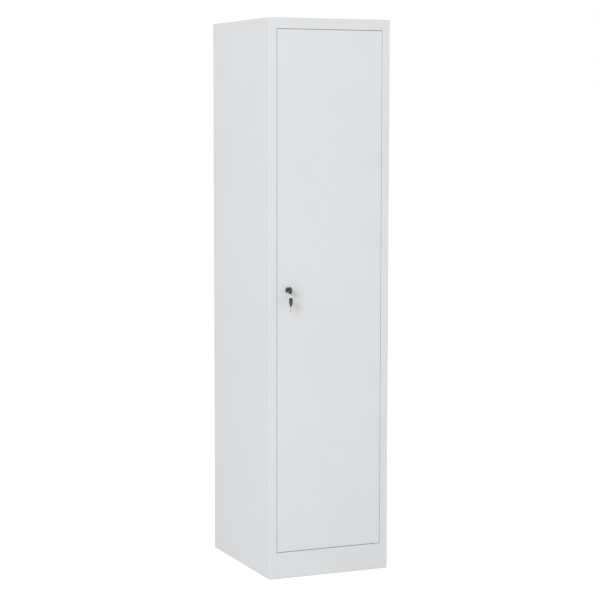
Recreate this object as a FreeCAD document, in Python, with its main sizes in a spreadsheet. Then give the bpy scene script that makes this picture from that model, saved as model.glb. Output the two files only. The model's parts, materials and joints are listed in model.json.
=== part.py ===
# Tall steel side locker with one full-height door, in millimetres.
# Z is up, X runs to the right as seen from the front, and the door faces -Y.
# The origin is on the floor, at the middle of the carcass.

import FreeCAD, Part
import math
import os

import Sketcher

doc = FreeCAD.newDocument("side_locker")
sheet = doc.addObject("Spreadsheet::Sheet", "Sizes")


class Length:
    """A size as an expression on the sheet, with the value it has now."""

    def __init__(self, text, value):
        self.text = text
        self.value = float(value)

    def joined(self, sign, other, value):
        return Length("(%s %s %s)" % (self.text, sign, other.text), value)

    def __add__(self, other):
        other = as_length(other)
        return self.joined("+", other, self.value + other.value)

    def __sub__(self, other):
        other = as_length(other)
        return self.joined("-", other, self.value - other.value)

    def __mul__(self, other):
        other = as_length(other)
        return self.joined("*", other, self.value * other.value)

    def __truediv__(self, other):
        other = as_length(other)
        return self.joined("/", other, self.value / other.value)

    def __neg__(self):
        return self * -1

    __rmul__ = __mul__


def as_length(value):
    """A plain number as a Length, left as it is if it already is one."""
    if isinstance(value, Length):
        return value
    return Length("(%r)" % float(value), value)


def whole(length):
    """The largest whole number that isn't above the length."""
    return Length("floor(%s)" % length.text, math.floor(length.value))


def size(name, value, meaning):
    """Write one driving size on the sheet."""
    row = 1
    while sheet.getContents("A%d" % row):
        row += 1
    sheet.set("A%d" % row, meaning)
    sheet.set("B%d" % row, str(value))
    sheet.setAlias("B%d" % row, name)
    return Length("Sizes." + name, value)


zero = as_length(0)

# Carcass
width = size("width", 420, "outside width")
depth = size("depth", 500, "outside depth, without the key")
height = size("height", 1800, "outside height")
gauge = size("gauge", 0.8, "thickness of the folded sheet")
bend = size("bend", 0.8, "inside radius of a bend")
stile = size("stile", 26, "width of each front stile")
rail = size("rail", 34.5, "height of the top rail")
kick = size("kick", 86, "height of the kick plate, up to the floor panel")
rebate = size("rebate", 22, "depth from the front to the stop flange")
stop = size("stop", 12, "width of the stop flange")
rear_return = size("rear_return", 15, "width of the flanges round the back")
foot = size("foot", 20, "width of the flanges that stand on the floor")
pan_edge = size("pan_edge", 25, "height of the floor and shelf edges")
pan_lip = size("pan_lip", 12, "width of the lips folded under them")
fixing_radius = size("fixing_radius", 4, "radius of the wall-fixing holes")
fixing_spacing = size("fixing_spacing", 300, "distance between those holes")
fixing_drop = size("fixing_drop", 150, "distance of those holes below the top")
floor_radius = size("floor_radius", 4.5, "radius of the floor-fixing holes")
floor_reach = size("floor_reach", 190, "floor-fixing holes in front of and behind the middle")
cut_over = size("cut_over", 1, "how far a cut runs past the metal")

# Door
door_gap = size("door_gap", 1.3, "gap left of and above the door")
hinge_gap = size("hinge_gap", 1.5, "gap at the hinge side")
foot_gap = size("foot_gap", 2, "gap below the door")
door_deep = size("door_deep", 18, "depth of the door pan")
door_lip = size("door_lip", 12, "width of the lip round the back of the door")
hat_wide = size("hat_wide", 50, "width of the stiffener's crown")
hat_deep = size("hat_deep", 14, "depth of the stiffener")
hat_foot = size("hat_foot", 20, "width of the stiffener's feet")
hat_end = size("hat_end", 14, "distance of the stiffener from the door's ends")
buffer_half = size("buffer_half", 4, "half the side of a square rubber buffer")
buffer_air = size("buffer_air", 0.3, "air between buffer and stop flange")
buffer_inset = size("buffer_inset", 60, "height of a buffer from the door's end")

# Hinges
hinge_inset = size("hinge_inset", 8, "pin axis from the door's edge")
hinge_set = size("hinge_set", 5, "pin axis behind the front of the door")
pin_radius = size("pin_radius", 2, "radius of a hinge pin")
pin_reach = size("pin_reach", 8, "length of the pin inside the door")
pin_end = size("pin_end", 1.5, "length of the pin beyond its bracket")
running = size("running", 0.05, "radial clearance of a running fit")
bracket_thick = size("bracket_thick", 3, "thickness of the hinge bracket")
bracket_long = size("bracket_long", 34, "length of the hinge bracket")
bracket_air = size("bracket_air", 0.5, "air between the bracket and the stile's return")
plate_thick = size("plate_thick", 2.5, "thickness of the plate inside the door")
plate_long = size("plate_long", 60, "length of the plate inside the door")
bush_wall = size("bush_wall", 0.6, "wall of the nylon bush")
bush_proud = size("bush_proud", 1, "length of the bush beyond that plate")
washer_radius = size("washer_radius", 4.4, "radius of the thrust washer")
washer_air = size("washer_air", 0.3, "air between washer and door")

# Inside
upright_gauge = size("upright_gauge", 1.2, "thickness of uprights and brackets")
upright_wide = size("upright_wide", 24, "width of a slotted upright")
upright_deep = size("upright_deep", 9, "depth of a slotted upright")
upright_inset = size("upright_inset", 45, "upright from the front or the back")
slot_high = size("slot_high", 14, "height of a slot")
slot_wide = size("slot_wide", 5, "width of a slot")
slot_pitch = size("slot_pitch", 100, "distance between slots")
slot_first = size("slot_first", 35, "first slot above the floor panel")
hook_wide = size("hook_wide", 4, "width of a bracket's hook")
hook_high = size("hook_high", 12, "height of a bracket's hook")
hook_neck = size("hook_neck", 7, "height of the hook's neck")
hook_thick = size("hook_thick", 1.8, "thickness of the hook behind the upright")
ledge = size("ledge", 15, "width of the ledge that carries a shelf")
ledge_high = size("ledge_high", 24, "height of a shelf bracket")
shelf_count = size("shelf_count", 4, "number of shelves")
shelf_air = size("shelf_air", 0.5, "air at each end of a shelf")
shelf_rear_air = size("shelf_rear_air", 4, "air between a shelf and the back sheet")
shelf_back = size("shelf_back", 38, "front edge of a shelf from the front")

# Lock, in from the face of the door
lock_inset = size("lock_inset", 36, "lock axis from the free edge of the door")
lock_rise = size("lock_rise", 12.2, "lock axis above the middle of the door")
bezel_radius = size("bezel_radius", 10, "radius of the bezel")
bezel_proud = size("bezel_proud", 2.6, "height of the bezel over the door")
bezel_bevel = size("bezel_bevel", 1.2, "bevel of the bezel")
barrel_radius = size("barrel_radius", 9, "radius of the barrel")
barrel_flat = size("barrel_flat", 8, "half the width over the barrel's flats")
barrel_long = size("barrel_long", 20.5, "length of the barrel")
nut_across = size("nut_across", 22, "width of the lock nut over its flats")
nut_thick = size("nut_thick", 4, "thickness of the lock nut")
lock_plate_wide = size("lock_plate_wide", 44, "width of the plate at the lock")
lock_plate_high = size("lock_plate_high", 60, "height of the plate at the lock")
lock_plate_thick = size("lock_plate_thick", 2, "thickness of that plate")
plug_radius = size("plug_radius", 6, "radius of the plug")
plug_sunk = size("plug_sunk", 0.3, "face of the plug below the bezel")
tail_side = size("tail_side", 7, "side of the plug's square tail")
keyway_air = size("keyway_air", 0.3, "air round the blade in its slot")
cam_thick = size("cam_thick", 2, "thickness of the cam")
cam_air = size("cam_air", 0.3, "air between cam and stop flange")
cam_long = size("cam_long", 33, "reach of the cam")
cam_half = size("cam_half", 8, "half the width of the cam")
cam_corner = size("cam_corner", 4, "corner radius of the cam")
screw_radius = size("screw_radius", 2, "radius of the cam screw")
screw_deep = size("screw_deep", 5, "length of the cam screw in the plug")
screw_across = size("screw_across", 8, "width of the cam screw's head over its flats")
screw_head_thick = size("screw_head_thick", 3, "thickness of that head")

# Keys, in from the face of the door
blade_half = size("blade_half", 1, "half the thickness of a blade")
blade_high = size("blade_high", 7, "height of a blade")
blade_tip = size("blade_tip", 15.5, "tip of the blade behind the door face")
blade_root = size("blade_root", 7, "length of the blade in the head")
blade_bevel = size("blade_bevel", 2, "bevel at the tip of the blade")
cut_deep = size("cut_deep", 1.6, "depth of a cut in the blade")
cut_wide = size("cut_wide", 2, "width of a cut in the blade")
cut_pitch = size("cut_pitch", 4.5, "distance between the cuts")
cut_count = size("cut_count", 3, "number of cuts in the blade")
head_start = size("head_start", 4, "start of the head before the door face")
neck_long = size("neck_long", 4.5, "length of the head's neck")
neck_half = size("neck_half", 6.5, "half the height of the neck")
neck_thin = size("neck_thin", 1.4, "half the thickness of the neck")
head_end = size("head_end", 31, "outer end of the head before the door face")
head_half = size("head_half", 11, "half the height of the head")
head_thin = size("head_thin", 1.6, "half the thickness of the head")
head_corner = size("head_corner", 8, "corner radius of the head")
eye_inset = size("eye_inset", 5, "hole centre from the head's outer end")
eye_radius = size("eye_radius", 2.4, "radius of the hole in the head")
ring_radius = size("ring_radius", 14, "radius of the key ring")
wire_half = size("wire_half", 0.5, "half the thickness of the ring's flat wire")
wire_wide = size("wire_wide", 0.6, "half the width of that wire")

# Faces and lines that several pieces share
side_face = width / 2
side_inner = side_face - gauge
front_face = -(depth / 2)
front_inner = front_face + gauge
back_face = depth / 2
back_inner = back_face - gauge
bend_outer = bend + gauge
opening_side = side_face - stile
opening_top = height - rail
stop_face = front_face + rebate
stop_back = stop_face + gauge
stop_side = opening_side - stop
door_left = -opening_side + door_gap
door_right = opening_side - hinge_gap
door_low = kick + foot_gap
door_high = opening_top - door_gap
door_back = front_face + door_deep
hinge_x = door_right - hinge_inset
hinge_y = front_face + hinge_set
lock_x = door_left + lock_inset
lock_z = (door_low + door_high) / 2 + lock_rise
upright_face = side_inner - upright_deep
leg_face = upright_face - upright_gauge
front_upright = front_face + upright_inset
rear_upright = back_inner - gauge - upright_inset
bush_radius = pin_radius + running + bush_wall
part_cut = gauge + cut_over / 2

# The direction that each plane's sketches face along the plane's own axis
FACING = {"XY_Plane": 1, "YZ_Plane": 1, "XZ_Plane": -1}

# Distance below which two levels are the same
NEAR = 0.001


def vector(x, y):
    return FreeCAD.Vector(x, y, 0)


def hold(sketch, kind, element, point, length):
    """Tie one coordinate of a point, or a radius, to the sheet."""
    where = (element,) if point is None else (element, point)
    index = sketch.addConstraint(Sketcher.Constraint(kind, *where, length.value))
    sketch.setExpression("Constraints[%d]" % index, length.text)


def line(sketch, start, end):
    return sketch.addGeometry(Part.LineSegment(vector(*start), vector(*end)), False)


def polygon(sketch, corners):
    """A closed outline with both coordinates of each corner tied."""
    plain = [(x.value, y.value) for x, y in corners]
    sides = [line(sketch, a, b) for a, b in zip(plain, plain[1:] + plain[:1])]
    for side, following in zip(sides, sides[1:] + sides[:1]):
        sketch.addConstraint(Sketcher.Constraint("Coincident", side, 2, following, 1))
    for side, (x, y) in zip(sides, corners):
        hold(sketch, "DistanceX", side, 1, x)
        hold(sketch, "DistanceY", side, 1, y)


def rectangle(sketch, left, right, low, high):
    """An upright rectangle between four tied sides."""
    corners = [
        (left.value, low.value),
        (right.value, low.value),
        (right.value, high.value),
        (left.value, high.value),
    ]
    sides = [line(sketch, a, b) for a, b in zip(corners, corners[1:] + corners[:1])]
    for side, following in zip(sides, sides[1:] + sides[:1]):
        sketch.addConstraint(Sketcher.Constraint("Coincident", side, 2, following, 1))
    for side, kind in zip(sides, ("Horizontal", "Vertical") * 2):
        sketch.addConstraint(Sketcher.Constraint(kind, side))
    hold(sketch, "DistanceY", sides[0], 1, low)
    hold(sketch, "DistanceX", sides[1], 1, right)
    hold(sketch, "DistanceY", sides[2], 1, high)
    hold(sketch, "DistanceX", sides[3], 1, left)


def rectangles(sketch, areas):
    for area in areas:
        rectangle(sketch, *area)


def circle(sketch, x, y, radius):
    ring = sketch.addGeometry(
        Part.Circle(vector(x.value, y.value), FreeCAD.Vector(0, 0, 1), radius.value), False
    )
    hold(sketch, "DistanceX", ring, 3, x)
    hold(sketch, "DistanceY", ring, 3, y)
    hold(sketch, "Radius", ring, None, radius)


def circles(sketch, centres, radius):
    for x, y in centres:
        circle(sketch, x, y, radius)


def arc(sketch, centre, radius, start, end):
    """An arc that runs anticlockwise between two points of its circle."""
    angles = [math.atan2(p[1] - centre[1], p[0] - centre[0]) for p in (start, end)]
    if angles[1] < angles[0]:
        angles[1] += 2 * math.pi
    round_line = Part.Circle(vector(*centre), FreeCAD.Vector(0, 0, 1), radius)
    return sketch.addGeometry(Part.ArcOfCircle(round_line, *angles), False)


def double_flat(sketch, radius, flat):
    """A round outline about the origin with a flat at the left and the right."""
    top = math.sqrt(radius.value**2 - flat.value**2)
    right, left = flat.value, -flat.value
    upper = arc(sketch, (0, 0), radius.value, (right, top), (left, top))
    lower = arc(sketch, (0, 0), radius.value, (left, -top), (right, -top))
    left_line = line(sketch, (left, top), (left, -top))
    right_line = line(sketch, (right, -top), (right, top))
    loop = (upper, left_line, lower, right_line)
    for piece, following in zip(loop, loop[1:] + loop[:1]):
        sketch.addConstraint(Sketcher.Constraint("Coincident", piece, 2, following, 1))
    sketch.addConstraint(Sketcher.Constraint("Coincident", upper, 3, lower, 3))
    sketch.addConstraint(Sketcher.Constraint("Coincident", upper, 3, -1, 1))
    sketch.addConstraint(Sketcher.Constraint("Equal", upper, lower))
    hold(sketch, "Radius", upper, None, radius)
    for side, x in ((left_line, -flat), (right_line, flat)):
        sketch.addConstraint(Sketcher.Constraint("Vertical", side))
        hold(sketch, "DistanceX", side, 1, x)


def unit(start, end):
    """The direction of a level or upright step."""
    step = (end[0] - start[0], end[1] - start[1])
    reach = abs(step[0]) + abs(step[1])
    return (step[0] / reach, step[1] / reach)


def corners_of(first_is_x, stations):
    """The sharp corners of a staircase through alternate coordinates."""
    pairs = []
    for i, (this, following) in enumerate(zip(stations, stations[1:])):
        is_x = first_is_x == (i % 2 == 0)
        pairs.append((this, following) if is_x else (following, this))
    return pairs


def ways_of(first_is_x, stations):
    """The direction of each step of that staircase."""
    plain = [(x.value, y.value) for x, y in corners_of(first_is_x, stations)]
    return [unit(a, b) for a, b in zip(plain, plain[1:])]


def far_side(first_is_x, stations, side, thick):
    """The staircase on the other face of a sheet, which lies to the left for side 1."""
    other = [stations[0]]
    for way, station in zip(ways_of(first_is_x, stations), stations[1:-1]):
        to_metal = side * (way[0] - way[1]) > 0
        other.append(station + thick if to_metal else station - thick)
    other.append(stations[-1])
    return other


def chain(sketch, first_is_x, stations, radii):
    """Straight legs joined by tangent arcs; gives back the two end legs."""
    corners = [(x.value, y.value) for x, y in corners_of(first_is_x, stations)]
    ways = ways_of(first_is_x, stations)
    sizes = [0] + [r.value for r in radii] + [0]
    legs = []
    for i, way in enumerate(ways):
        start, end = corners[i], corners[i + 1]
        start = (start[0] + way[0] * sizes[i], start[1] + way[1] * sizes[i])
        end = (end[0] - way[0] * sizes[i + 1], end[1] - way[1] * sizes[i + 1])
        leg = line(sketch, start, end)
        level = way[1] == 0
        sketch.addConstraint(Sketcher.Constraint("Horizontal" if level else "Vertical", leg))
        hold(sketch, "DistanceY" if level else "DistanceX", leg, 1, stations[i + 1])
        legs.append((leg, start, end))
    for i, radius in enumerate(radii):
        (before, _, start), (after, end, _) = legs[i], legs[i + 1]
        way, turned = ways[i], ways[i + 1]
        centre = (start[0] + turned[0] * radius.value, start[1] + turned[1] * radius.value)
        left_turn = way[0] * turned[1] - way[1] * turned[0] > 0
        ends = (start, end) if left_turn else (end, start)
        curve = arc(sketch, centre, radius.value, *ends)
        into, out = (1, 2) if left_turn else (2, 1)
        sketch.addConstraint(Sketcher.Constraint("Tangent", before, 2, curve, into))
        sketch.addConstraint(Sketcher.Constraint("Tangent", curve, out, after, 1))
        hold(sketch, "Radius", curve, None, radius)
    return legs[0], legs[-1]


def folded(sketch, first_is_x, stations, side, thick, inside):
    """The section of a bent sheet.

    The stations are one end, the faces in the order that the sheet meets them, and the
    other end. The metal lies to the left of those faces for side 1, to the right for -1.
    """
    ways = ways_of(first_is_x, stations)
    other = far_side(first_is_x, stations, side, thick)
    near, far = [], []
    for way, turned in zip(ways, ways[1:]):
        towards_metal = side * (way[0] * turned[1] - way[1] * turned[0]) > 0
        near.append(inside + thick if towards_metal else inside)
        far.append(inside if towards_metal else inside + thick)
    near_first, near_last = chain(sketch, first_is_x, stations, near)
    far_first, far_last = chain(sketch, first_is_x, other, far)
    last_is_x = first_is_x == (len(stations) % 2 == 1)
    ends = (
        (near_first, far_first, 1, first_is_x, stations[0]),
        (near_last, far_last, 2, last_is_x, stations[-1]),
    )
    for a, b, point, along_x, place in ends:
        cap = line(sketch, a[point], b[point])
        sketch.addConstraint(Sketcher.Constraint("Coincident", cap, 1, a[0], point))
        sketch.addConstraint(Sketcher.Constraint("Coincident", cap, 2, b[0], point))
        sketch.addConstraint(Sketcher.Constraint("Vertical" if along_x else "Horizontal", cap))
        hold(sketch, "DistanceX" if along_x else "DistanceY", cap, 1, place)


def creased(sketch, first_is_x, stations, side, thick):
    """The section of a sheet with sharp bends, for the pieces that repeat."""
    near = corners_of(first_is_x, stations)
    far = corners_of(first_is_x, far_side(first_is_x, stations, side, thick))
    polygon(sketch, near + far[::-1])


def new_body(name, x=None, y=None, z=None):
    body = doc.addObject("PartDesign::Body", name)
    body.Label = name
    for axis, place in (("x", x), ("y", y), ("z", z)):
        if place is not None:
            body.setExpression("Placement.Base." + axis, place.text)
    return body


def sketch_on(body, plane, level, draw, *sizes):
    """A sketch on one of the body's own planes, moved to a level along its axis."""
    sketch = body.newObject("Sketcher::SketchObject", "Sketch")
    face = [f for f in body.Origin.OriginFeatures if f.Role == plane][0]
    sketch.AttachmentSupport = [(face, "")]
    sketch.MapMode = "FlatFace"
    sketch.setExpression("AttachmentOffset.Base.z", (level * FACING[plane]).text)
    draw(sketch, *sizes)
    return sketch


def pad(body, plane, low, high, draw, *sizes):
    """Add the drawn section between two levels along the plane's axis."""
    level = low if FACING[plane] > 0 else high
    feature = body.newObject("PartDesign::Pad", "Pad")
    feature.Profile = sketch_on(body, plane, level, draw, *sizes)
    feature.setExpression("Length", (high - low).text)
    body.Tip = feature
    return feature


def pocket(body, plane, low, high, draw, *sizes):
    """Cut the drawn section away between two levels along the plane's axis."""
    level = high if FACING[plane] > 0 else low
    feature = body.newObject("PartDesign::Pocket", "Pocket")
    feature.Profile = sketch_on(body, plane, level, draw, *sizes)
    feature.setExpression("Length", (high - low).text)
    body.Tip = feature
    return feature


def turned(body, plane, draw, *sizes):
    """Turn the drawn section right round the sketch's upright axis."""
    sketch = sketch_on(body, plane, zero, draw, *sizes)
    feature = body.newObject("PartDesign::Revolution", "Turned")
    feature.Profile = sketch
    feature.ReferenceAxis = (sketch, ["V_Axis"])
    feature.Angle = 360
    body.Tip = feature
    return feature


def runs_along(axis):
    """Whether the ends of a block's edge stand apart along an axis."""

    def chosen(edge):
        ends = [getattr(v.Point, axis) for v in edge.Vertexes]
        return max(ends) - min(ends) > NEAR

    return chosen


def lies_at(axis, level):
    """Whether both ends of an edge are at one level."""

    def chosen(edge):
        return all(abs(getattr(v.Point, axis) - level.value) < NEAR for v in edge.Vertexes)

    return chosen


def eased(body, feature, chosen, radius):
    """Round the chosen edges of a feature."""
    doc.recompute()
    edges = enumerate(feature.Shape.Edges, 1)
    rounding = body.newObject("PartDesign::Fillet", "Rounding")
    rounding.Base = (feature, ["Edge%d" % i for i, edge in edges if chosen(edge)])
    rounding.setExpression("Radius", radius.text)
    body.Tip = rounding


def folded_pan(name, box, axis, face):
    """A closed box of sheet with its bends round one face, to be opened by a cut."""
    left, right, front, back, low, high = box
    body = new_body(name)
    block = pad(body, "XY_Plane", low, high, rectangle, left, right, front, back)
    eased(body, block, lies_at(axis, face), bend)
    core = new_body(name + "_hollow")
    inner = (left + gauge, right - gauge, front + gauge, back - gauge)
    pad(core, "XY_Plane", low + gauge, high - gauge, rectangle, *inner)
    cut = body.newObject("PartDesign::Boolean", "Hollow")
    cut.Type = "Cut"
    cut.setObjects([core])
    body.Tip = cut
    return body


def tray(name, left, right, front, back, high):
    """A pan that lies face up, open below between its lips."""
    low = high - pan_edge
    body = folded_pan(name, (left, right, front, back, low, high), "z", high)
    inset = pan_lip
    opening = (left + inset, right - inset, front + inset, back - inset)
    pocket(body, "XY_Plane", low - cut_over, low + part_cut, rectangle, *opening)
    return body


made = []


def side_panel(name, hand):
    """Side wall folded in one piece with its stile, stop flange and rear return."""
    body = new_body(name)
    section = [
        hand * (side_face - rear_return),
        back_face,
        hand * side_face,
        front_face,
        hand * opening_side,
        stop_face,
        hand * stop_side,
    ]
    pad(body, "XY_Plane", zero, height, folded, True, section, -hand, gauge, bend)
    ends = (foot + front_face + bend_outer, back_face - foot - bend_outer)
    wall = sorted((hand * side_face, hand * side_inner), key=lambda l: l.value)
    pocket(body, "XY_Plane", -cut_over, bend_outer, rectangle, *wall, *ends)
    flange = [bend_outer * 2, hand * side_face, zero, hand * (side_face - foot)]
    pad(body, "XZ_Plane", *ends, folded, False, flange, -hand, gauge, bend)
    centres = [(hand * (side_face - foot / 2), way * floor_reach) for way in (-1, 1)]
    through = (-cut_over, gauge + cut_over)
    pocket(body, "XY_Plane", *through, circles, centres, floor_radius)
    notch = sorted(
        (hand * (opening_side + bend_outer), hand * (stop_side - cut_over)),
        key=lambda l: l.value,
    )
    areas = (
        (*notch, opening_top + bend_outer, height + cut_over),
        (*notch, -cut_over, kick - bend_outer),
    )
    cut = (front_face - cut_over, stop_back + cut_over)
    pocket(body, "XZ_Plane", *cut, rectangles, areas)
    made.append(body)


def corner_cuts(sketch, inner, end_face, end_inner, way):
    """Cuts that let a sheet in behind the bends at two corners of the carcass."""
    for hand in (-1, 1):
        corners = [
            (hand * width / 2, end_face + way * cut_over),
            (hand * inner, end_face + way * cut_over),
            (hand * inner, end_inner),
            (hand * (side_inner - bend), end_inner),
            (hand * side_inner, end_inner - way * bend),
            (hand * width / 2, end_inner - way * bend),
        ]
        polygon(sketch, corners)


def both_hands(inner, outer, low, high):
    """The same upright rectangle at the left and at the right."""
    return ((-outer, -inner, low, high), (inner, outer, low, high))


def top_panel():
    """Top sheet folded down into the top rail, with its return and stop flange."""
    body = new_body("top_panel")
    section = [
        height - rear_return,
        back_face,
        height,
        front_face,
        opening_top,
        stop_face,
        opening_top - stop,
    ]
    flat = side_inner - bend_outer
    pad(body, "YZ_Plane", -flat, flat, folded, False, section, 1, gauge, bend)
    for hand in (-1, 1):
        inner = hand * (flat - bend_outer)
        flange = [inner, height, hand * side_inner, height - rear_return]
        pad(
            body, "XZ_Plane", front_face, back_face, folded, True, flange, -hand, gauge, bend
        )
    edge = opening_side + bend_outer
    through = (opening_top - stop - cut_over, height + cut_over)
    pocket(body, "XY_Plane", *through, corner_cuts, edge, front_face, front_inner, -1)
    rear = side_face - rear_return
    pocket(body, "XY_Plane", *through, corner_cuts, rear, back_face, back_inner, 1)
    fold = opening_top + bend_outer
    low = opening_top - stop - cut_over
    areas = both_hands(opening_side, side_face, low, fold)
    pocket(body, "XZ_Plane", front_face - cut_over, stop_back + cut_over, rectangles, areas)
    areas = both_hands(stop_side, side_face, low, fold)
    pocket(body, "XZ_Plane", stop_face - bend_outer, stop_back + cut_over, rectangles, areas)
    made.append(body)


def kick_plate():
    """Kick plate with its foot, its return under the door and its stop lip."""
    body = new_body("kick_plate")
    section = [front_face + foot, zero, front_face, kick, stop_face, kick + stop]
    edge = opening_side + bend_outer
    pad(body, "YZ_Plane", -edge, edge, folded, True, section, -1, gauge, bend)
    high = kick + stop + cut_over
    fold = kick - bend_outer
    areas = both_hands(opening_side, side_face, fold, high)
    pocket(body, "XZ_Plane", front_face - cut_over, stop_back + cut_over, rectangles, areas)
    areas = both_hands(stop_side, side_face, fold, high)
    pocket(body, "XZ_Plane", stop_face - bend_outer, stop_back + cut_over, rectangles, areas)
    made.append(body)


def back_panel():
    """Back sheet inside the rear flanges, with a foot and two wall-fixing holes."""
    body = new_body("back_panel")
    section = [height - bend_outer, back_inner, zero, back_inner - foot]
    edge = side_inner - bend
    pad(body, "YZ_Plane", -edge, edge, folded, False, section, -1, gauge, bend)
    high = height - fixing_drop
    centres = [(hand * fixing_spacing / 2, high) for hand in (-1, 1)]
    through = (back_inner - gauge - cut_over, back_face)
    pocket(body, "XZ_Plane", *through, circles, centres, fixing_radius)
    made.append(body)


def upright(name, hand, front):
    """Slotted upright; the slots face the middle of the locker."""
    body = new_body(name, y=front, z=kick)
    section = [
        hand * side_inner,
        zero,
        hand * upright_face,
        upright_wide,
        hand * side_inner,
    ]
    long = opening_top - kick
    pad(body, "XY_Plane", zero, long, creased, True, section, -hand, upright_gauge)
    middle = upright_wide / 2
    slot = (
        middle - slot_wide / 2,
        middle + slot_wide / 2,
        slot_first,
        slot_first + slot_high,
    )
    levels = sorted(
        (hand * (upright_face - cut_over), hand * (upright_face + upright_gauge + cut_over)),
        key=lambda l: l.value,
    )
    cut = pocket(body, "YZ_Plane", *levels, rectangle, *slot)
    row = body.newObject("PartDesign::LinearPattern", "Slots")
    row.Originals = [cut]
    row.Direction = (cut.Profile[0], ["V_Axis"])
    row.Mode = "Spacing"
    row.setExpression("Offset", slot_pitch.text)
    row.setExpression("Occurrences", (whole((long - slot_first * 2) / slot_pitch) + 1).text)
    body.Tip = row
    made.append(body)


def shelf_level(number):
    """Height of the lower edge of the slots that hold a shelf."""
    share = (opening_top - kick) * number / (shelf_count + 1)
    step = whole((share - slot_first) / slot_pitch)
    return kick + slot_first + slot_pitch * step


def shelf_bracket(name, hand, number):
    """Angle that hooks into the front and the rear upright and carries a shelf."""
    body = new_body(name, z=shelf_level(number))
    low = -(ledge_high / 2) + slot_high / 2
    section = [low + ledge_high, hand * upright_face, low, hand * (upright_face - ledge)]
    ends = (front_upright, rear_upright + upright_wide)
    pad(body, "XZ_Plane", *ends, creased, False, section, -hand, upright_gauge)
    behind = upright_face + upright_gauge
    tip = behind + hook_thick
    neck = (slot_high - hook_neck) / 2
    drop = slot_high - neck
    hook = [
        (hand * upright_face, neck),
        (hand * upright_face, drop),
        (hand * tip, drop),
        (hand * tip, drop - hook_high),
        (hand * behind, drop - hook_high),
        (hand * behind, neck),
    ]
    for front in (front_upright, rear_upright):
        middle = front + upright_wide / 2
        levels = (middle - hook_wide / 2, middle + hook_wide / 2)
        pad(body, "XZ_Plane", *levels, polygon, hook)
    made.append(body)


def shelf(name, number):
    """Shelf tray that rests on the ledges of its two brackets."""
    top = slot_high / 2 - ledge_high / 2 + upright_gauge + pan_edge
    half = leg_face - shelf_air
    front = front_face + shelf_back
    back = back_inner - gauge - shelf_rear_air
    body = tray(name, -half, half, front, back, top)
    body.setExpression("Placement.Base.z", shelf_level(number).text)
    made.append(body)


def door_skin():
    """Door pan with rounded front edges, returns and lips all round the back."""
    box = (door_left, door_right, front_face, door_back, door_low, door_high)
    body = folded_pan("door_skin", box, "y", front_face)
    lip = door_lip
    opening = (door_left + lip, door_right - lip, door_low + lip, door_high - lip)
    levels = (door_back - part_cut, door_back + cut_over)
    pocket(body, "XZ_Plane", *levels, rectangle, *opening)
    made.append(body)
    return body


def door_holes(body):
    """The hole for the lock barrel and the holes for the two hinge bushes."""
    levels = (front_face - cut_over, front_face + part_cut)
    feature = pocket(
        body,
        "XZ_Plane",
        *levels,
        double_flat,
        barrel_radius + running,
        barrel_flat + running,
    )
    sketch = feature.Profile[0]
    sketch.setExpression("AttachmentOffset.Base.x", lock_x.text)
    sketch.setExpression("AttachmentOffset.Base.y", lock_z.text)
    hole = bush_radius + running
    for levels in (
        (door_low - cut_over, door_low + part_cut),
        (door_high - part_cut, door_high + cut_over),
    ):
        pocket(body, "XY_Plane", *levels, circle, hinge_x, hinge_y, hole)


def door_stiffener():
    """Hat channel up the middle of the door, welded inside the skin."""
    body = new_body("door_stiffener")
    half = hat_wide / 2
    foot_face = front_inner
    section = [
        -half - hat_foot,
        foot_face,
        -half,
        foot_face + hat_deep - gauge,
        half,
        foot_face,
        half + hat_foot,
    ]
    levels = (door_low + hat_end, door_high - hat_end)
    pad(body, "XY_Plane", *levels, creased, True, section, 1, gauge)
    made.append(body)


def door_buffer(name, z):
    """Rubber buffer on the back of the door's lip, facing the stop flange."""
    body = new_body(name)
    x = (door_left - stop_side) / 2
    levels = (door_back, stop_face - buffer_air)
    area = (x - buffer_half, x + buffer_half, z - buffer_half, z + buffer_half)
    pad(body, "XZ_Plane", *levels, rectangle, *area)
    made.append(body)


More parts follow.
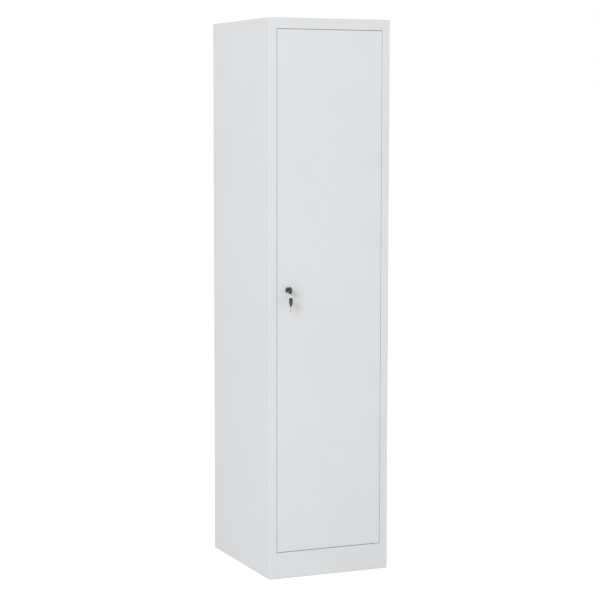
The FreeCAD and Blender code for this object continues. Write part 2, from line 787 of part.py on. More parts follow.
def hinge(name, edge, gap, way):
    """One pivot hinge: bracket, pin, bush and the plate in the door.

    The edge is the face of the opening, and way is 1 where the door lies above it.
    """
    door_edge = gap * way
    sheet_in = -gauge * way
    bracket_in = sheet_in - bracket_thick * way
    hole = pin_radius + running
    behind = front_face - hinge_y + bend_outer
    deep = stop_face - bend_outer - hinge_y

    def place(body):
        for axis, value in (("x", hinge_x), ("y", hinge_y), ("z", edge)):
            body.setExpression("Placement.Base." + axis, value.text)
        made.append(body)
        return body

    bracket = place(new_body("hinge_bracket_" + name))
    right = opening_side - hinge_x - bracket_air
    area = (right - bracket_long, right, behind, deep)
    span = (bracket_in, sheet_in) if way > 0 else (sheet_in, bracket_in)
    pad(bracket, "XY_Plane", *span, rectangle, *area)
    span = (span[0] - cut_over, span[1] + cut_over)
    pocket(bracket, "XY_Plane", *span, circle, zero, zero, hole)

    pin = place(new_body("hinge_pin_" + name))
    span = sorted(
        (bracket_in - pin_end * way, door_edge + pin_reach * way), key=lambda l: l.value
    )
    pad(pin, "XY_Plane", *span, circle, zero, zero, pin_radius)

    plate = place(new_body("hinge_plate_" + name))
    near = door_edge + gauge * way
    far = near + plate_thick * way
    right = hinge_inset - bend_outer
    area = (right - plate_long, right, behind, door_back - bend_outer - hinge_y)
    span = (near, far) if way > 0 else (far, near)
    pad(plate, "XY_Plane", *span, rectangle, *area)
    span = (span[0] - cut_over, span[1] + cut_over)
    pocket(plate, "XY_Plane", *span, circle, zero, zero, bush_radius + running)

    bush = place(new_body("hinge_bush_" + name))
    end = far + bush_proud * way
    outline = [
        (hole, door_edge),
        (bush_radius, door_edge),
        (bush_radius, end),
        (hole, end),
    ]
    turned(bush, "XZ_Plane", polygon, outline)

    if way > 0:
        washer = place(new_body("thrust_washer"))
        outline = [
            (hole, zero),
            (washer_radius, zero),
            (washer_radius, door_edge - washer_air),
            (hole, door_edge - washer_air),
        ]
        turned(washer, "XZ_Plane", polygon, outline)


def carcass_hole(body, edge, way):
    """The hole for a hinge pin through the return that faces the door."""
    levels = sorted((edge + cut_over * way, edge - part_cut * way), key=lambda l: l.value)
    pocket(body, "XY_Plane", *levels, circle, hinge_x, hinge_y, pin_radius + running)


def hexagon(sketch, across):
    """A six-sided outline about the origin with two upright flats."""
    flat = across / 2
    point = across / math.sqrt(3)
    corners = [
        (flat, -point / 2),
        (flat, point / 2),
        (zero, point),
        (-flat, point / 2),
        (-flat, -point / 2),
        (zero, -point),
    ]
    polygon(sketch, corners)


def lock_body(name):
    """A body with its origin on the lock axis, at the face of the door."""
    body = new_body(name, lock_x, front_face, lock_z)
    made.append(body)
    return body


def lock():
    """Cam lock: housing, nut, plate, plug, cam and screw."""
    bore = plug_radius + running
    housing = lock_body("lock_housing")
    outline = [
        (bore, -bezel_proud),
        (bezel_radius - bezel_bevel, -bezel_proud),
        (bezel_radius, -bezel_proud + bezel_bevel),
        (bezel_radius, zero),
        (barrel_radius, zero),
        (barrel_radius, barrel_long),
        (bore, barrel_long),
    ]
    turned(housing, "XY_Plane", polygon, outline)
    flats = both_hands(barrel_flat, bezel_radius, -bezel_radius, bezel_radius)
    pocket(housing, "XZ_Plane", zero, barrel_long + cut_over, rectangles, flats)

    plate = lock_body("lock_plate")
    half, tall = lock_plate_wide / 2, lock_plate_high / 2
    behind = gauge + lock_plate_thick
    pad(plate, "XZ_Plane", gauge, behind, rectangle, -half, half, -tall, tall)
    span = (gauge - cut_over, behind + cut_over)
    clear = (barrel_radius + running, barrel_flat + running)
    pocket(plate, "XZ_Plane", *span, double_flat, *clear)

    nut = lock_body("lock_nut")
    far = behind + nut_thick
    pad(nut, "XZ_Plane", behind, far, hexagon, nut_across)
    span = (behind - cut_over, far + cut_over)
    pocket(nut, "XZ_Plane", *span, circle, zero, zero, barrel_radius + running)

    plug = lock_body("lock_plug")
    cam_near = stop_back - front_face + cam_air
    cam_far = cam_near + cam_thick
    face = -bezel_proud + plug_sunk
    pad(plug, "XZ_Plane", face, cam_near, circle, zero, zero, plug_radius)
    tail = tail_side / 2
    pad(plug, "XZ_Plane", cam_near, cam_far, rectangle, -tail, tail, -tail, tail)
    across = blade_half + keyway_air
    tall = blade_high / 2 + keyway_air
    slot_end = blade_tip + keyway_air * 2
    slot = (-across, across, -tall, tall)
    pocket(plug, "XZ_Plane", face - cut_over, slot_end, rectangle, *slot)
    span = (cam_far - screw_deep, cam_far + cut_over)
    pocket(plug, "XZ_Plane", *span, circle, zero, zero, screw_radius + running)

    cam = lock_body("lock_cam")
    area = (-cam_half, cam_half, -cam_long, cam_half + bend)
    block = pad(cam, "XZ_Plane", cam_near, cam_far, rectangle, *area)
    eased(cam, block, runs_along("y"), cam_corner)
    hole = tail + running
    span = (cam_near - cut_over, cam_far + cut_over)
    pocket(cam, "XZ_Plane", *span, rectangle, -hole, hole, -hole, hole)

    screw = lock_body("cam_screw")
    end = cam_far + screw_head_thick
    pad(screw, "XZ_Plane", cam_far, end, hexagon, screw_across)
    start = cam_far - screw_deep + running
    pad(screw, "XZ_Plane", start, cam_far, circle, zero, zero, screw_radius)


def key(name, hanging):
    """Key with a cut steel blade and a moulded head."""
    blade = new_body(name + "_blade")
    head = new_body(name + "_head")
    eye = -head_end + eye_inset
    for body in (blade, head):
        if hanging:
            body.Placement.Rotation = FreeCAD.Rotation(FreeCAD.Vector(1, 0, 0), -90)
            places = (lock_x, front_face + eye, lock_z - ring_radius * 2 + eye)
        else:
            places = (lock_x, front_face, lock_z)
        for axis, place in zip("xyz", places):
            body.setExpression("Placement.Base." + axis, place.text)
        made.append(body)

    low, top = -(blade_high / 2), blade_high / 2
    root = -head_start - blade_root
    outline = [
        (root, low),
        (blade_tip - blade_bevel, low),
        (blade_tip, low + blade_bevel),
        (blade_tip, top - blade_bevel),
        (blade_tip - blade_bevel, top),
        (root, top),
    ]
    pad(blade, "YZ_Plane", -blade_half, blade_half, polygon, outline)
    cuts = []
    for i in range(int(cut_count.value)):
        middle = blade_tip - cut_pitch * (i + 1)
        cuts.append(
            (middle - cut_wide / 2, middle + cut_wide / 2, top - cut_deep, top + cut_over)
        )
    span = (-blade_half - cut_over, blade_half + cut_over)
    pocket(blade, "YZ_Plane", *span, rectangles, cuts)

    bow = (-head_end, -head_start - neck_long, -head_half, head_half)
    block = pad(head, "YZ_Plane", -head_thin, head_thin, rectangle, *bow)
    eased(head, block, runs_along("x"), head_corner)
    neck = (-head_start - neck_long - cut_over, -head_start, -neck_half, neck_half)
    pad(head, "YZ_Plane", -neck_thin, neck_thin, rectangle, *neck)
    clear = (root - running, -head_start + cut_over, low - running, top + running)
    span = (-blade_half - running, blade_half + running)
    pocket(head, "YZ_Plane", *span, rectangle, *clear)
    span = (-head_thin - cut_over, head_thin + cut_over)
    pocket(head, "YZ_Plane", *span, circle, eye, zero, eye_radius)


def key_ring():
    """Flat wire ring through the eyes of both keys."""
    eye = front_face - head_end + eye_inset
    body = new_body("key_ring", lock_x, eye, lock_z - ring_radius)
    section = (ring_radius - wire_half, ring_radius + wire_half, -wire_wide, wire_wide)
    turned(body, "XY_Plane", rectangle, *section)
    made.append(body)


for side_name, hand in (("left", -1), ("right", 1)):
    side_panel(side_name + "_side", hand)
top_panel()
top = made[-1]
kick_plate()
bottom = made[-1]
carcass_hole(top, opening_top, -1)
carcass_hole(bottom, kick, 1)
back_panel()
made.append(
    tray("floor_panel", -side_inner, side_inner, stop_back, back_inner - gauge, kick)
)
for side_name, hand in (("left", -1), ("right", 1)):
    upright("upright_front_" + side_name, hand, front_upright)
    upright("upright_rear_" + side_name, hand, rear_upright)
for number in range(1, int(shelf_count.value) + 1):
    shelf("shelf_%d" % number, number)
    for side_name, hand in (("left", -1), ("right", 1)):
        shelf_bracket("shelf_bracket_%d_%s" % (number, side_name), hand, number)
door_holes(door_skin())
door_stiffener()
door_buffer("door_buffer_low", door_low + buffer_inset)
door_buffer("door_buffer_middle", lock_z + buffer_inset)
door_buffer("door_buffer_high", door_high - buffer_inset)
hinge("low", kick, foot_gap, 1)
hinge("high", opening_top, door_gap, -1)
lock()
key("key", False)
key_ring()
key("spare_key", True)

doc.recompute()

for thing in doc.Objects:
    if "Invalid" in thing.State or "Error" in thing.State:
        raise ValueError("%s is %s" % (thing.Label, thing.State))
for body in made:
    shape = body.Shape
    if shape.isNull() or not shape.isValid() or len(shape.Solids) != 1:
        raise ValueError("%s isn't one valid solid" % body.Label)

os.makedirs("parts", exist_ok=True)
for body in made:
    body.Shape.exportStep("parts/%s.step" % body.Label)
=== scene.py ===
"""Dress the tall side locker with its paint, plating, lock, keys and small parts."""

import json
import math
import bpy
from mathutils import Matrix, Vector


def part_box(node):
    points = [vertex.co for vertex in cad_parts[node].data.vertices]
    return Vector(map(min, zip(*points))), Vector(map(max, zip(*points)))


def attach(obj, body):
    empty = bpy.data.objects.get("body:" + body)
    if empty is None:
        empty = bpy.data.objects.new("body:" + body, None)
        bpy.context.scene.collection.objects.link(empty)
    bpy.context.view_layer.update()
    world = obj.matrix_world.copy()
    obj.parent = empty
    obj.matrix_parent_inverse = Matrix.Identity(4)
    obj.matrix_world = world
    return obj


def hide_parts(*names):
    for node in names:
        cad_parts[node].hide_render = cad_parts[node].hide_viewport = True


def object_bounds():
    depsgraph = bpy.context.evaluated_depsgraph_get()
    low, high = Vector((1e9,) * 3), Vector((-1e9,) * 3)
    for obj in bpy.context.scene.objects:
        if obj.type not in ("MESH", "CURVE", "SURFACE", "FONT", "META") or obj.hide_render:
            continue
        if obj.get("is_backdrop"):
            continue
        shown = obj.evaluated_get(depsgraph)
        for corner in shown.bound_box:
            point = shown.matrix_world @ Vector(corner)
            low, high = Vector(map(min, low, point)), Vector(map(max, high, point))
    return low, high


bl_info = {
    "name": "Tall side locker",
    "version": (1, 0, 0),
    "blender": (4, 5, 0),
    "location": "View3D > Sidebar > Locker",
    "description": "Paint, plating, lock, keys and studio for the tall side locker",
    "category": "Object",
}

import bmesh
import bpy
from bpy.props import FloatProperty, FloatVectorProperty, IntProperty, PointerProperty
from mathutils import Matrix, Vector

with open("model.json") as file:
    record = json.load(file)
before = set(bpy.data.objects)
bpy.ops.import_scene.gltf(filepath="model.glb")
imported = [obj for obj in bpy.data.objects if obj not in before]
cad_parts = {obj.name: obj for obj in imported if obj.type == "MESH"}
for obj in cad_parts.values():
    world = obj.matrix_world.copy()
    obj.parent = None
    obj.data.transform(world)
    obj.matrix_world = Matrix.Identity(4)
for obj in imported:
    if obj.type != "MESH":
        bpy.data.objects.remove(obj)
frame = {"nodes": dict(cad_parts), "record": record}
cad_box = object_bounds()

MM = 0.001
X_AXIS = Vector((1, 0, 0))
Y_AXIS = Vector((0, 1, 0))
Z_AXIS = Vector((0, 0, 1))
WHITE = (1.0, 1.0, 1.0, 1.0)


# ---------------------------------------------------------------- sizes and colours


def length(name, value, description):
    """A length in millimetres that a user may change."""
    return FloatProperty(
        name=name,
        description=description,
        default=value * MM,
        min=0.0,
        precision=5,
        unit="LENGTH",
        subtype="DISTANCE",
    )


def share(name, value, description, top=1.0):
    """A plain number from nothing to a limit."""
    return FloatProperty(name=name, description=description, default=value, min=0.0, max=top)


def colour(name, value, description):
    """A colour written as its display values from 0 to 255."""
    linear = [
        v / 3294.6 if v <= 10 else ((v / 255 + 0.055) / 1.055) ** 2.4 for v in value
    ]
    return FloatVectorProperty(
        name=name,
        description=description,
        default=linear,
        size=3,
        min=0.0,
        max=1.0,
        subtype="COLOR",
    )


def place(name, value, description):
    """A place in metres."""
    return FloatVectorProperty(
        name=name,
        description=description,
        default=value,
        size=3,
        unit="LENGTH",
        subtype="TRANSLATION",
    )


def rotation(name, value, description):
    """An angle in degrees, kept in radians as Blender does."""
    return FloatProperty(
        name=name,
        description=description,
        default=math.radians(value),
        unit="ROTATION",
        subtype="ANGLE",
    )


def power(name, value, description):
    """The power of a lamp in watts."""
    return FloatProperty(
        name=name, description=description, default=value, min=0.0, unit="POWER"
    )


class LockerPaint(bpy.types.PropertyGroup):
    """The powder coat on the sheet steel."""

    tone: colour("Tone", (224, 226, 228), "Colour of the powder coat")
    second_tone: colour("Second tone", (221, 223, 225), "Colour where the coat is thicker")
    roughness: share("Roughness", 0.66, "How matt the coat is")
    peel_size: length("Peel size", 1.4, "Width of one dimple of the orange peel")
    peel_height: length("Peel height", 0.012, "Height of the orange peel")
    grain_size: length("Grain size", 0.25, "Width of one grain of the powder")
    edge: length("Edge", 0.5, "Softness of the painted edges")


class LockerPlating(bpy.types.PropertyGroup):
    """Zinc, nickel and dark nickel on the fittings."""

    zinc: colour("Zinc", (186, 189, 192), "Colour of the zinc plate")
    zinc_tint: colour("Zinc tint", (172, 176, 173), "Colour of the passivated patches")
    nickel: colour("Nickel", (200, 200, 197), "Colour of the bright nickel")
    dark_nickel: colour("Dark nickel", (150, 151, 152), "Colour of the lock's face")
    spring_steel: colour("Spring steel", (158, 159, 158), "Colour of the key ring")
    rubbed_tone: colour("Rubbed nickel", (206, 200, 184), "Colour where nickel is rubbed thin")
    zinc_roughness: share("Zinc roughness", 0.31, "How matt the zinc is")
    nickel_roughness: share("Nickel roughness", 0.27, "How matt the nickel is")
    brush_size: length("Brush size", 0.35, "Width of one drawn line in the metal")
    turning_size: length("Turning size", 0.22, "Width of one line left by the lathe")
    rubbed: length("Rubbed edge", 0.15, "Width of the edges that hands and tools rub bright")


class LockerMouldings(bpy.types.PropertyGroup):
    """Black plastic, white nylon and grey rubber."""

    black: colour("Black", (25, 28, 30), "Colour of the key heads")
    nylon: colour("Nylon", (228, 228, 222), "Colour of the bushes")
    rubber: colour("Rubber", (94, 95, 97), "Colour of the buffers")
    black_roughness: share("Black roughness", 0.38, "How matt the key heads are")
    grain_size: length("Grain size", 0.18, "Width of one grain of the mould's texture")


class LockerKeys(bpy.types.PropertyGroup):
    """The moulded heads of the two keys, and the ring that joins them."""

    corner: length("Corner", 8.0, "Corner radius of a head")
    eye_inset: length("Eye inset", 5.0, "Middle of the eye from the outer end")
    eye_radius: length("Eye radius", 2.4, "Radius of the eye")
    edge: length("Edge", 0.6, "Rounding along the edges of a head")
    recess: length("Recess", 0.3, "Depth of the panels in a head")
    rim: length("Rim", 1.7, "Width of the rim round a panel")
    neck: length("Neck", 4.5, "Length of the neck below a head")
    neck_width: length("Neck width", 13.0, "Width of the neck")
    neck_thickness: length("Neck thickness", 2.8, "Thickness of the neck")
    neck_chamfer: length("Neck chamfer", 0.6, "Length of the chamfer at the neck's end")
    wire_width: length("Wire width", 1.0, "Width of the ring's wire, out from its middle")
    wire_thickness: length("Wire thickness", 0.52, "Thickness of one turn of the ring")
    wire_gap: length("Wire gap", 0.06, "Gap between the ring's two turns")


class LockerLock(bpy.types.PropertyGroup):
    """The turned and threaded parts of the cam lock."""

    bezel_round: length("Bezel round", 1.5, "Rounding of the bezel")
    bezel_wide: length("Bezel width", 1.0, "Width of the bezel beyond the barrel")
    lip: length("Lip", 0.35, "Chamfer at the barrel's mouth and end")
    plug_air: length("Plug clearance", 0.05, "Air round the plug in its bore")
    flat: length("Flat", 8.0, "Half the width over the barrel's flats")
    thread_pitch: length("Thread pitch", 1.0, "Distance between two threads")
    thread_depth: length("Thread depth", 0.4, "Depth of a thread")
    thread_start: length("Thread start", 3.4, "Plain length behind the face")
    nut_bevel: length("Nut bevel", 0.9, "Bevel at the corners of the nuts")
    nut_wall: length("Nut wall", 1.9, "Thinnest wall of the nut")
    nut_mouth: length("Nut mouth", 0.4, "Chamfer of the nut's bore")
    shank: length("Shank", 2.0, "Radius of the cam screw's shank")


class LockerMarks(bpy.types.PropertyGroup):
    """Spot welds and rubber buffers."""

    weld_inset: length("Weld inset", 7.5, "Middle of a weld from the edge of the back")
    weld_radius: length("Weld radius", 2.6, "Radius of a spot weld")
    weld_height: length("Weld height", 0.12, "Height of the ring round a weld")
    weld_pitch: length("Weld pitch", 110.0, "Distance between two welds")
    buffer_round: length("Buffer round", 1.3, "Rounding of the buffers")


class LockerStudio(bpy.types.PropertyGroup):
    """Floor, lamps and camera."""

    key_power: power("Key power", 243.0, "Power of the key lamp")
    key_size: length("Key size", 2500.0, "Side of the key lamp")
    key_place: place("Key place", (-6.6, -5.4, 4.4), "Where the key lamp hangs")
    fill_power: power("Fill power", 68.0, "Power of the fill lamp")
    fill_size: length("Fill size", 4500.0, "Side of the fill lamp")
    fill_place: place("Fill place", (-2.6, -6.4, 2.4), "Where the fill lamp hangs")
    lamp_target: place("Lamp target", (0.0, 0.0, 0.95), "Where both lamps point")
    ambient: share("Ambient", 0.668, "Strength of the light from all round", 4.0)
    floor_tone: share("Floor tone", 0.8, "How pale the floor is")
    floor_glow: share("Floor glow", 0.5, "Light that the camera sees the floor give", 2.0)
    floor_half: length("Floor reach", 30000.0, "Half the side of the floor")
    camera_place: place("Camera place", (-2.4456, -5.6946, 1.4902), "Where the camera stands")
    camera_yaw: rotation("Camera yaw", -23.271, "Turn of the camera to the left")
    camera_pitch: rotation("Camera pitch", -5.64, "Tilt of the camera upward")
    camera_roll: rotation("Camera roll", 0.082, "Lean of the camera to the left")
    focal: share("Focal length", 111.546, "Focal length in millimetres", 1000.0)


# ---------------------------------------------------------------- making meshes


def shells(bm):
    """The faces of each closed shell in turn."""
    seen = set()
    for start in bm.faces:
        if start in seen:
            continue
        seen.add(start)
        shell, waiting = [], [start]
        while waiting:
            face = waiting.pop()
            shell.append(face)
            around = {other for edge in face.edges for other in edge.link_faces}
            waiting.extend(around - seen)
            seen |= around
        yield shell


def volume(shell):
    """Volume inside a closed shell, below zero where its faces look inward."""
    first = shell[0].verts[0].co
    total = 0.0
    for face in shell:
        corners = [vert.co - first for vert in face.verts]
        for b, c in zip(corners[1:], corners[2:]):
            total += corners[0].dot(b.cross(c)) / 6
    return total


def piece(name, bm, body, finish):
    """Turn a bmesh into a smooth object that rides on a body."""
    bmesh.ops.recalc_face_normals(bm, faces=bm.faces)
    inward = [face for shell in shells(bm) if volume(shell) < 0 for face in shell]
    bmesh.ops.reverse_faces(bm, faces=inward)
    mesh = bpy.data.meshes.new(name)
    bm.to_mesh(mesh)
    bm.free()
    for face in mesh.polygons:
        face.use_smooth = True
    made = bpy.data.objects.new(name, mesh)
    bpy.context.scene.collection.objects.link(made)
    made.data.materials.append(finish)
    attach(made, body)
    return made


def sharpen(made, degrees):
    """Keep the edges sharper than an angle crisp on a smooth piece."""
    mesh = made.data
    bm = bmesh.new()
    bm.from_mesh(mesh)
    for edge in bm.edges:
        if len(edge.link_faces) == 2 and edge.calc_face_angle() > math.radians(degrees):
            edge.smooth = False
    bm.to_mesh(mesh)
    bm.free()


def skin(bm, loops, wrap=False):
    """Faces between loops of equally many points; wrap joins the last to the first."""
    rings = [[bm.verts.new(point) for point in loop] for loop in loops]
    pairs = list(zip(rings, rings[1:]))
    if wrap:
        pairs.append((rings[-1], rings[0]))
    for low, high in pairs:
        for i in range(len(low)):
            j = (i + 1) % len(low)
            bm.faces.new((low[i], low[j], high[j], high[i]))
    return rings


def cap(bm, ring):
    """Close a loop with triangles round its middle."""
    middle = bm.verts.new(sum((v.co for v in ring), Vector()) / len(ring))
    for a, b in zip(ring, ring[1:] + ring[:1]):
        bm.faces.new((a, b, middle))


def round_steps(radius, start, end, steps):
    """Points of an arc as pairs, from one angle in degrees to another."""
    return [
        (radius * math.cos(math.radians(a)), radius * math.sin(math.radians(a)))
        for a in (start + (end - start) * i / steps for i in range(steps + 1))
    ]


def corner_steps(half_a, half_b, corner, steps):
    """Points of a rectangle with round corners, as pairs from its middle."""
    points = []
    for sign_a, sign_b, start in ((1, 1, 0), (-1, 1, 90), (-1, -1, 180), (1, -1, 270)):
        for a, b in round_steps(corner, start, start + 90, steps):
            points.append((sign_a * (half_a - corner) + a, sign_b * (half_b - corner) + b))
    return points


def closed_skin(bm, loops):
    """A skin over loops with a cap on each end."""
    rings = skin(bm, loops)
    cap(bm, rings[0])
    cap(bm, rings[-1])


# ---------------------------------------------------------------- making materials


def add_node(tree, kind, inputs=None, **settings):
    """A shader node with its settings, and its inputs linked or set."""
    made = tree.nodes.new("ShaderNode" + kind)
    for name, value in settings.items():
        setattr(made, name, value)
    for name, value in (inputs or {}).items():
        if isinstance(value, bpy.types.NodeSocket):
            tree.links.new(value, made.inputs[name])
        else:
            made.inputs[name].default_value = value
    return made


def seen_directly(tree):
    """1 for rays that show the background: the camera's, mirrored and passed through."""
    path = add_node(tree, "LightPath").outputs
    total = path["Is Camera Ray"]
    for name in ("Is Glossy Ray", "Is Transmission Ray"):
        total = add_node(tree, "Math", {0: total, 1: path[name]}, operation="MAXIMUM").outputs[0]
    return total


def tinted(value, factor, lift=0.0):
    """A colour property made paler or darker, as the four numbers that a socket takes."""
    return (*(min(1.0, v * factor + lift) for v in value), 1.0)


class Finish:
    """A material being built from nodes that read the object's own coordinates."""

    def __init__(self, name):
        self.material = bpy.data.materials.new(name)
        if self.material.name != name:
            raise RuntimeError("another material is already called %s" % name)
        self.material.use_nodes = True
        self.tree = self.material.node_tree
        self.tree.nodes.clear()
        self.place = self.node("TexCoord").outputs["Object"]

    def node(self, kind, inputs=None, **settings):
        return add_node(self.tree, kind, inputs, **settings)

    def stretched(self, scale):
        """The object's coordinates, scaled differently along each axis."""
        return self.node("Mapping", {"Vector": self.place, "Scale": scale}).outputs["Vector"]

    def turned(self, centre):
        """Distance from an axis along Y and the place along it, for a lathe's lines."""
        away = self.vector("SUBTRACT", self.place, centre)
        radius = self.vector("LENGTH", self.vector("MULTIPLY", away, (1.0, 0.0, 1.0)))
        along = self.node("SeparateXYZ", {0: away}).outputs["Y"]
        return self.node("CombineXYZ", {"X": radius, "Y": along}).outputs["Vector"]

    def edges(self, radius, most):
        """The normal rounded over sharp edges, and how near such an edge is."""
        soft = self.node("Bevel", {"Radius": radius}, samples=6).outputs["Normal"]
        facing = self.node("NewGeometry").outputs["Normal"]
        turn = self.vector("DOT_PRODUCT", soft, facing)
        return soft, self.spread(turn, 0.999, 0.8, 0.0, most)

    def noise(self, size, detail=2.0, roughness=0.5, place=None):
        """Noise whose features are about as wide as the size."""
        inputs = {
            "Vector": place or self.place,
            "Scale": 1.0 / size,
            "Detail": detail,
            "Roughness": roughness,
        }
        return self.node("TexNoise", inputs).outputs["Fac"]

    def spread(self, value, low, high, to_low, to_high):
        """The value moved from one range to another and kept inside it."""
        inputs = {
            "Value": value,
            "From Min": low,
            "From Max": high,
            "To Min": to_low,
            "To Max": to_high,
        }
        return self.node("MapRange", inputs).outputs["Result"]

    def mixed(self, share_of_second, first, second):
        """One colour laid over another."""
        inputs = {0: share_of_second, 6: first, 7: second}
        return self.node("Mix", inputs, data_type="RGBA").outputs[2]

    def sum(self, first, second, share_of_second):
        """The first value plus a share of the second."""
        inputs = {0: second, 1: share_of_second, 2: first}
        return self.node("Math", inputs, operation="MULTIPLY_ADD").outputs["Value"]

    def number(self, operation, first, second=0.0):
        """The result of one operation on two values."""
        return self.node("Math", {0: first, 1: second}, operation=operation).outputs["Value"]

    def vector(self, operation, first, second=(0.0, 0.0, 0.0)):
        """The result of one operation on two vectors."""
        made = self.node("VectorMath", {0: first, 1: second}, operation=operation)
        gives_number = operation in ("LENGTH", "DOT_PRODUCT")
        return made.outputs["Value" if gives_number else "Vector"]

    def bump(self, height, distance, strength=1.0, normal=None):
        inputs = {"Height": height, "Distance": distance, "Strength": strength}
        if normal is not None:
            inputs["Normal"] = normal
        return self.node("Bump", inputs).outputs["Normal"]

    def finish(self, colour_value, roughness, normal, constants=None):
        """Close the material with its shader."""
        inputs = {"Base Color": colour_value, "Roughness": roughness, "Normal": normal}
        shader = self.node("BsdfPrincipled", {**inputs, **(constants or {})})
        self.node("OutputMaterial", {"Surface": shader.outputs["BSDF"]})
        return self.material


def weld_marks(coat, marks):
    """Height, up to 1, of the rings that spot welds leave on the flanges round the back."""
    low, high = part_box("left_side")
    place = coat.node("SeparateXYZ", {0: coat.place}).outputs
    half = marks.weld_pitch / 2
    spots = []
    for side, line, run in (
        (coat.number("ABSOLUTE", place["X"]), abs(low.x) - marks.weld_inset, place["Z"]),
        (place["Z"], high.z - marks.weld_inset, place["X"]),
    ):
        across = coat.number("SUBTRACT", side, line)
        along = coat.number("PINGPONG", coat.number("ADD", run, half), half)
        flat = coat.node("CombineXYZ", {"X": across, "Y": along}).outputs["Vector"]
        spots.append(coat.vector("LENGTH", flat))
    away = coat.number("MINIMUM", *spots)
    rim = coat.spread(away, marks.weld_radius, marks.weld_radius * 0.8, 0.0, 1.0)
    dimple = coat.spread(away, marks.weld_radius * 0.75, marks.weld_radius * 0.4, 1.0, 0.1)
    at_back = coat.number("GREATER_THAN", place["Y"], high.y - 0.5 * MM)
    return coat.number("MULTIPLY", coat.number("MINIMUM", rim, dimple), at_back)


def powder_coat(name, paint, marks=None):
    """Satin light grey powder: orange peel, fine grain, edges paler for the thin coat and as a
    painted highlight, and any weld marks with painted shade and dirt.
    """
    coat = Finish(name)
    peel = coat.noise(paint.peel_size, 1.5)
    grain = coat.noise(paint.grain_size, 2.0, 0.6)
    cloud = coat.noise(400 * MM, 3.0, 0.6)
    soft, edge = coat.edges(paint.edge, 0.35)
    tones = tinted(paint.tone, 1.0), tinted(paint.second_tone, 1.0)
    tone = coat.mixed(coat.spread(cloud, 0.3, 0.7, 0.0, 1.0), *tones)
    # Paler near edges: partly a thinner coat, partly a painted highlight that stands in for the
    # light caught on the bends.
    tone = coat.mixed(edge, tone, tinted(paint.tone, 1.03))
    mottle = coat.sum(cloud, grain, 0.6)
    rough = coat.spread(mottle, 0.4, 1.2, paint.roughness - 0.04, paint.roughness + 0.05)
    if marks is not None:
        mark = weld_marks(coat, marks)
        # Painted shade and dirt: the weld rings are darkened in the coat's colour as well as
        # raised in the bump.
        tone = coat.mixed(coat.number("MULTIPLY", mark, 0.3), tone, tinted(paint.tone, 0.72))
        soft = coat.bump(mark, marks.weld_height, 1.0, soft)
    relief = coat.sum(peel, grain, 0.25)
    normal = coat.bump(relief, paint.peel_height, 0.6, soft)
    return coat.finish(tone, rough, normal, {"IOR": 1.47})


def zinc_plate(plating):
    """Passivated zinc: drawn lines, patches of tint and a soft sheen."""
    zinc = Finish("drawn_zinc")
    lines = zinc.noise(plating.brush_size, 2.0, 0.6, zinc.stretched((0.04, 1.0, 1.0)))
    patches = zinc.noise(12 * MM, 4.0, 0.6)
    spots = zinc.noise(1.2 * MM, 1.0)
    tones = tinted(plating.zinc, 1.0), tinted(plating.zinc_tint, 1.0)
    tone = zinc.mixed(zinc.spread(patches, 0.35, 0.65, 0.0, 1.0), *tones)
    mottle = zinc.sum(patches, lines, 0.5)
    matt = plating.zinc_roughness
    rough = zinc.spread(mottle, 0.4, 1.1, matt - 0.08, matt + 0.1)
    soft, edge = zinc.edges(plating.rubbed, 0.35)
    tone = zinc.mixed(zinc.spread(lines, 0.45, 0.75, 0.0, 0.6), tone, tinted(plating.zinc, 0.84))
    tone = zinc.mixed(edge, tone, tinted(plating.zinc, 1.2))
    rough = zinc.sum(rough, edge, -0.15)
    normal = zinc.bump(zinc.sum(lines, spots, 0.5), 0.01 * MM, 0.6, soft)
    return zinc.finish(tone, rough, normal, {"Metallic": 1.0})


def nickel_plate(name, tone_value, plating, centre=None):
    """Nickel plate: drawn lines, or a lathe's about a centre, fine wear and rubbed edges."""
    nickel = Finish(name)
    if centre is None:
        lines = nickel.noise(plating.brush_size, 2.0, 0.5, nickel.stretched((1.0, 0.1, 1.0)))
    else:
        lines = nickel.noise(plating.turning_size, 2.0, 0.5, nickel.turned(centre))
    wear = nickel.noise(4 * MM, 3.0, 0.55)
    tones = tinted(tone_value, 0.93), tinted(tone_value, 1.07)
    tone = nickel.mixed(nickel.spread(wear, 0.35, 0.65, 0.0, 1.0), *tones)
    mottle = nickel.sum(wear, lines, 0.6)
    matt = plating.nickel_roughness
    rough = nickel.spread(mottle, 0.5, 1.2, matt - 0.05, matt + 0.08)
    soft, edge = nickel.edges(plating.rubbed, 0.5)
    tone = nickel.mixed(edge, tone, tinted(plating.rubbed_tone, 1.0))
    rough = nickel.sum(rough, edge, -0.12)
    normal = nickel.bump(nickel.sum(lines, wear, 0.15), 0.003 * MM, 0.4, soft)
    return nickel.finish(tone, rough, normal, {"Metallic": 1.0})


def moulded(name, tone_value, roughness, grain, coarse):
    """Moulded plastic or rubber: spark-eroded grain and faint flow marks."""
    plastic = Finish(name)
    fine = plastic.noise(grain, 2.0, 0.6)
    flow = plastic.noise(coarse, 3.0, 0.55, plastic.stretched((1.0, 1.0, 0.4)))
    tones = tinted(tone_value, 1.0), tinted(tone_value, 1.18, 0.003)
    tone = plastic.mixed(plastic.spread(flow, 0.3, 0.7, 0.0, 1.0), *tones)
    edge = plastic.edges(0.2 * MM, 0.5)[1]
    tone = plastic.mixed(edge, tone, tinted(tone_value, 1.5))
    mottle = plastic.sum(flow, fine, 0.7)
    rough = plastic.spread(mottle, 0.5, 1.3, roughness - 0.05, roughness + 0.1)
    rough = plastic.sum(rough, edge, -0.1)
    normal = plastic.bump(plastic.sum(fine, flow, 0.3), 0.02 * MM, 0.5)
    return plastic.finish(tone, rough, normal)


def finish_named(name):
    """A material that an earlier step has made."""
    if name not in bpy.data.materials:
        raise RuntimeError("make the finishes before the pieces: %s is missing" % name)
    return bpy.data.materials[name]


# ---------------------------------------------------------------- finishes


